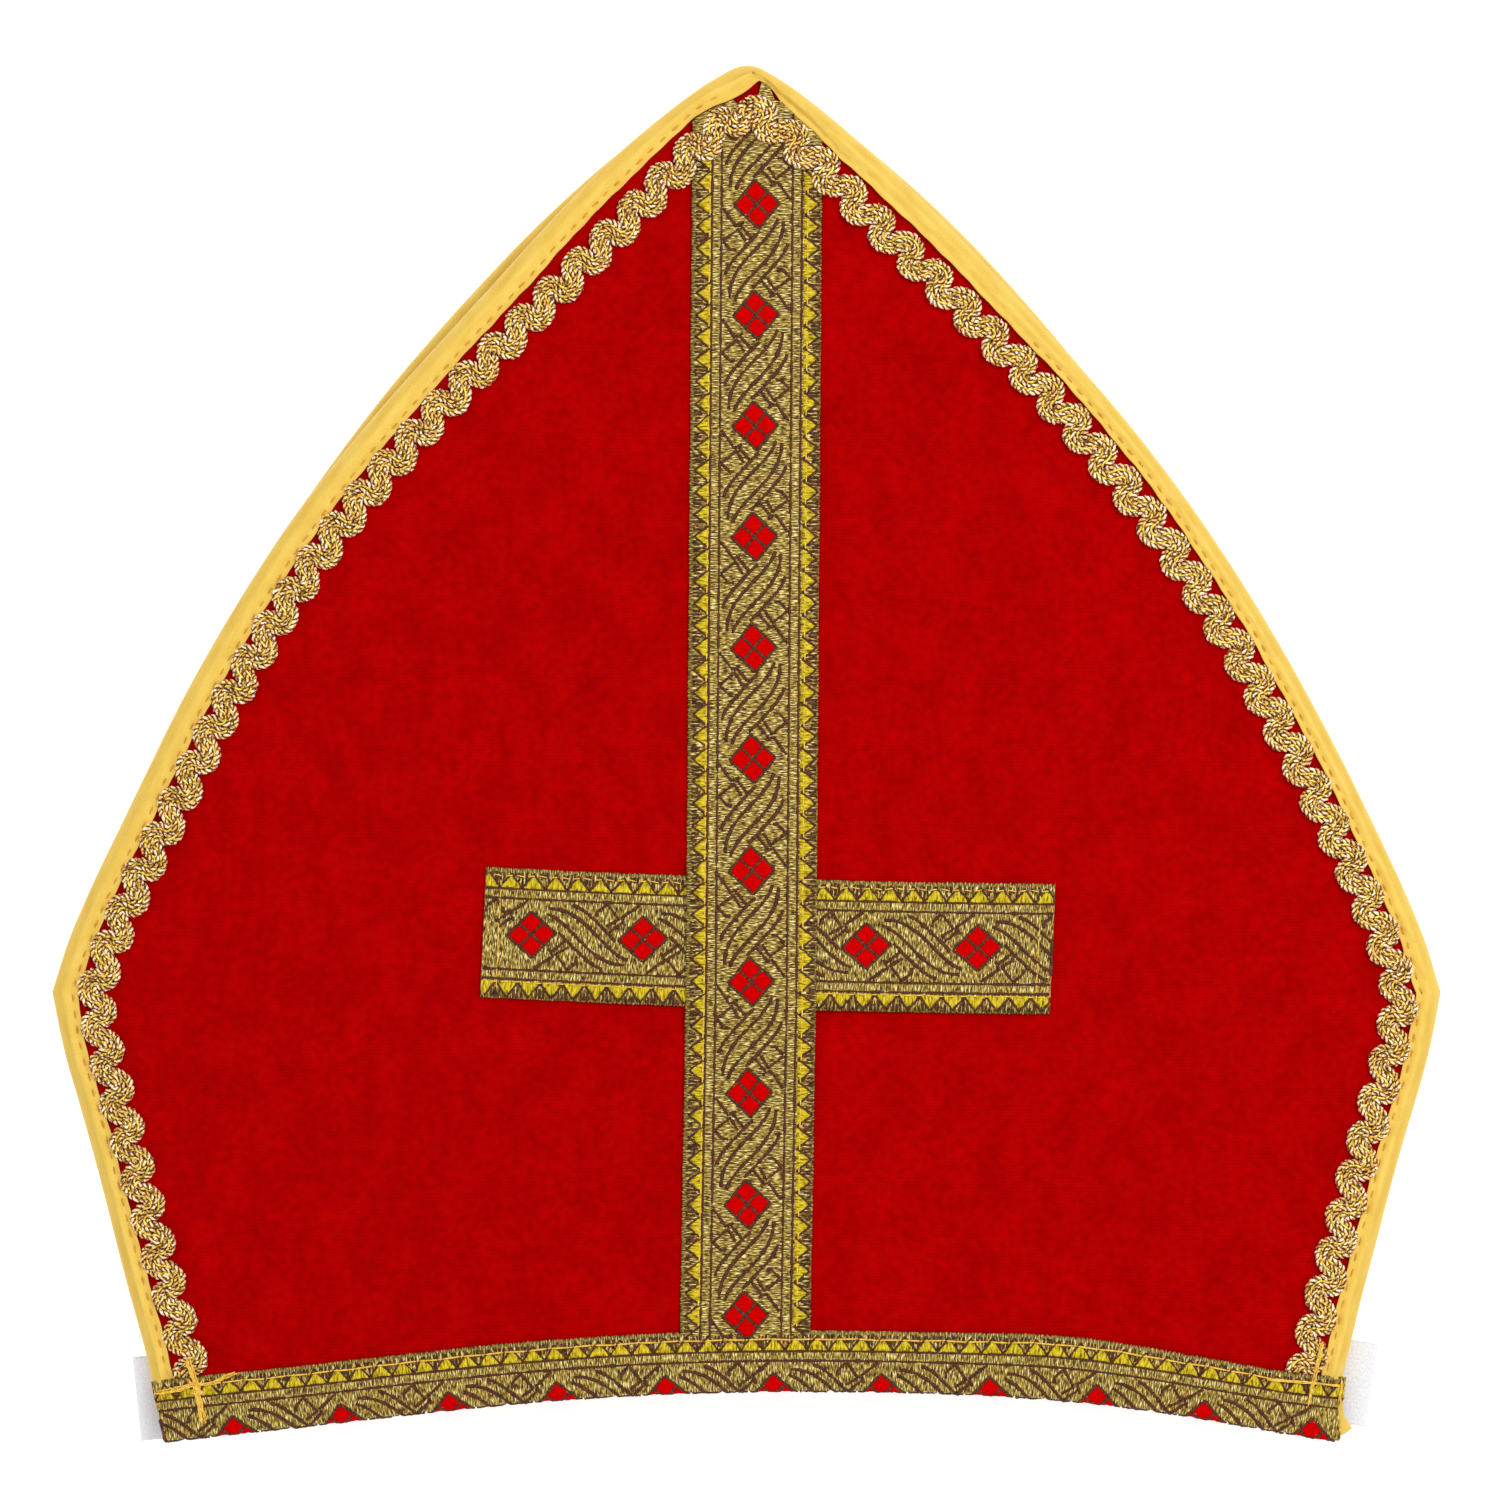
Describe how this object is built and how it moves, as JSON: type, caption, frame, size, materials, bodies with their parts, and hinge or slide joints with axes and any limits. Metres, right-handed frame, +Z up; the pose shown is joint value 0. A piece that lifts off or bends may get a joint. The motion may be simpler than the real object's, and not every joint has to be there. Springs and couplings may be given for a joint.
{
  "type": "bishop mitre",
  "caption": "Flat-lying bishop's mitre of two bound velvet panels with a galloon cross, scroll gimp edging, galloon hem and elastic side loops.",
  "frame": {"origin": "on the surface it lies on, under the middle of its outline", "axes": "+Z up out of the front panel, +Y from the hem towards the apex, +X to the right of the front"},
  "size_m": [0.3428, 0.34, 0.0309],
  "materials": {
    "velvet": "short red cotton velvet with a fine crosswise rib",
    "binding": "yellow satin bias binding, machine stitched",
    "galloon": "woven metallic gold braid with a brown and red figure",
    "gimp": "twisted gold and cream metallic cords worked in a scroll",
    "elastic": "white woven ribbed elastic"
  },
  "bodies": {
    "root": {"front_panel": "velvet", "front_binding": "binding", "front_hem_galloon": "galloon", "cross_bar": "galloon", "cross_upright": "galloon", "scroll_gimp": "gimp", "rear_panel": "velvet", "rear_binding": "binding", "rear_hem_galloon": "galloon", "elastic_left": "elastic", "elastic_right": "elastic"}
  },
  "joints": []
}
